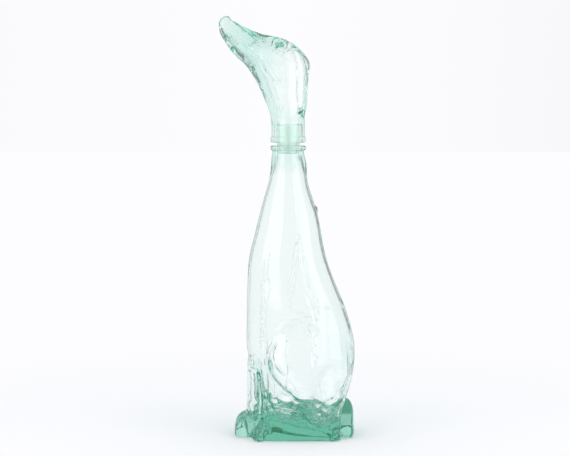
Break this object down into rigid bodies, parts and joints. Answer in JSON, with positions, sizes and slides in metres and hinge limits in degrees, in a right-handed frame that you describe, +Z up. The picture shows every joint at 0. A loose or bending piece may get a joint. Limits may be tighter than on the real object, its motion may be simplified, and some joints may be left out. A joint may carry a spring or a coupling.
{
  "type": "figural decanter",
  "caption": "Seated hound decanter in moulded green glass; the hollow head is a stopper on a translucent plug, and it lifts and turns in the mouth.",
  "frame": {"origin": "on the table, straight under the centre of the mouth", "axes": "+Z up along the neck, -X the way the hound looks, -Y the hound's left side"},
  "size_m": [0.1158, 0.0736, 0.3558],
  "materials": {
    "bottle_glass": "moulded pale green glass, fire polished, deep green where it is thick",
    "plug_polyethylene": "translucent moulded polyethylene",
    "head_glass": "moulded pale green glass, fire polished, deep green where it is thick"
  },
  "bodies": {
    "bottle": {"bottle_body": "bottle_glass"},
    "plug": {"stopper_plug": "plug_polyethylene"},
    "head": {"head_stopper": "head_glass"}
  },
  "joints": [
    {"name": "stopper_lift", "type": "slide", "parent": "bottle", "child": "plug", "axis": [0, 0, 1], "range_m": [0, 0.03]},
    {"name": "head_turn", "type": "hinge", "parent": "plug", "child": "head", "pos_m": [0, 0, 0.2493], "axis": [0, 0, 1], "continuous": true}
  ]
}
